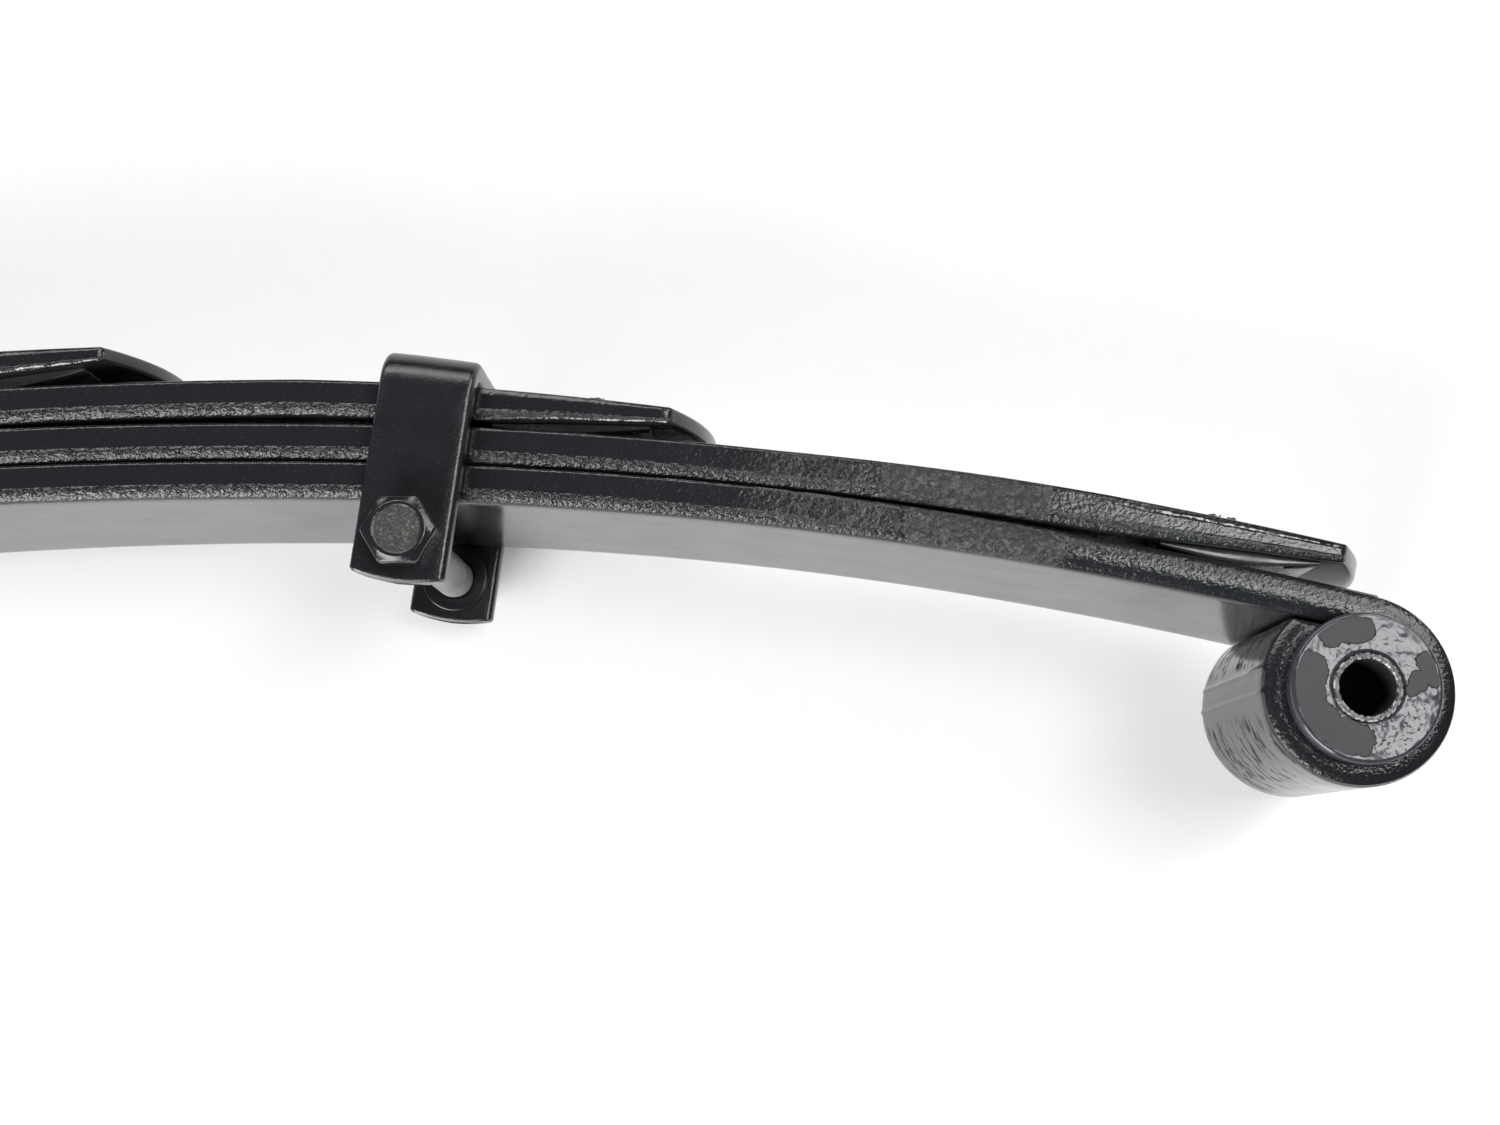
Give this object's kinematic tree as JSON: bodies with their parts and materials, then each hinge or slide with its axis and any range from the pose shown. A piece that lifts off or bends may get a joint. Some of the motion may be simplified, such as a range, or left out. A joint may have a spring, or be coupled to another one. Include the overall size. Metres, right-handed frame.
{
  "type": "leaf spring",
  "caption": "Arched multi-leaf suspension spring with rolled eyes, rubber bushes, rebound clips and a centre bolt.",
  "frame": {"origin": "centre of the axle seat, where the centre bolt leaves the outer face of the shortest leaf, at mid-width", "axes": "+X along the spring to the front eye, +Y out of the axle seat along the centre bolt, +Z across the leaves, parallel to the eye bolts"},
  "size_m": [1.0298, 0.1696, 0.0914],
  "materials": {
    "painted_leaf": "glossy black paint over peened steel",
    "painted_clip": "glossy black paint",
    "painted_fastener": "black paint, worn",
    "liner": "moulded, partly painted over",
    "bush": "matte rubber, partly painted over",
    "sleeve": "painted steel tube with a bare rim"
  },
  "bodies": {
    "root": {"main_leaf": "painted_leaf", "second_leaf": "painted_leaf", "third_leaf": "painted_leaf", "fourth_leaf": "painted_leaf", "centre_bolt": "painted_fastener", "centre_nut": "painted_fastener"},
    "front_arm": {"front_clip_strap": "painted_clip", "front_clip_bolt": "painted_fastener", "front_clip_nut": "painted_fastener", "front_clip_washer": "painted_fastener", "front_clip_rivet": "painted_clip", "third_leaf_front_liner": "liner", "fourth_leaf_front_liner": "liner"},
    "front_tip": {"front_bush_upper": "bush", "front_bush_lower": "bush", "second_leaf_front_liner": "liner"},
    "front_sleeve": {"front_eye_sleeve": "sleeve"},
    "rear_arm": {"rear_clip_strap": "painted_clip", "rear_clip_bolt": "painted_fastener", "rear_clip_nut": "painted_fastener", "rear_clip_washer": "painted_fastener", "rear_clip_rivet": "painted_clip", "third_leaf_rear_liner": "liner", "fourth_leaf_rear_liner": "liner"},
    "rear_tip": {"rear_bush_upper": "bush", "rear_bush_lower": "bush", "second_leaf_rear_liner": "liner"},
    "rear_sleeve": {"rear_eye_sleeve": "sleeve"}
  },
  "joints": [
    {"name": "front_leaf_flex", "type": "hinge", "parent": "root", "child": "front_arm", "pos_m": [0.11093, -0.01892, 0], "axis": [0, 0, 1], "range_deg": [-3, 12], "stiffness_Nm_per_rad": 9400, "deforming": ["main_leaf", "second_leaf", "third_leaf", "fourth_leaf"]},
    {"name": "front_tip_flex", "type": "hinge", "parent": "front_arm", "child": "front_tip", "pos_m": [0.40678, -0.08248, 0], "axis": [0, 0, 1], "range_deg": [-3, 12], "deforming": ["main_leaf", "second_leaf"]},
    {"name": "front_bush_twist", "type": "hinge", "parent": "front_tip", "child": "front_sleeve", "pos_m": [0.49378, -0.13945, 0], "axis": [0, 0, 1], "range_deg": [-20, 20], "stiffness_Nm_per_rad": 60},
    {"name": "rear_leaf_flex", "type": "hinge", "parent": "root", "child": "rear_arm", "pos_m": [-0.11093, -0.01892, 0], "axis": [0, 0, -1], "range_deg": [-3, 12], "stiffness_Nm_per_rad": 9400, "deforming": ["main_leaf", "second_leaf", "third_leaf", "fourth_leaf"]},
    {"name": "rear_tip_flex", "type": "hinge", "parent": "rear_arm", "child": "rear_tip", "pos_m": [-0.40678, -0.08248, 0], "axis": [0, 0, -1], "range_deg": [-3, 12], "deforming": ["main_leaf", "second_leaf"]},
    {"name": "rear_bush_twist", "type": "hinge", "parent": "rear_tip", "child": "rear_sleeve", "pos_m": [-0.49378, -0.13945, 0], "axis": [0, 0, 1], "range_deg": [-20, 20], "stiffness_Nm_per_rad": 60}
  ],
  "couplings": [
    {"joint": "front_tip_flex", "follows": "front_leaf_flex", "ratio": 1},
    {"joint": "rear_tip_flex", "follows": "rear_leaf_flex", "ratio": 1}
  ]
}
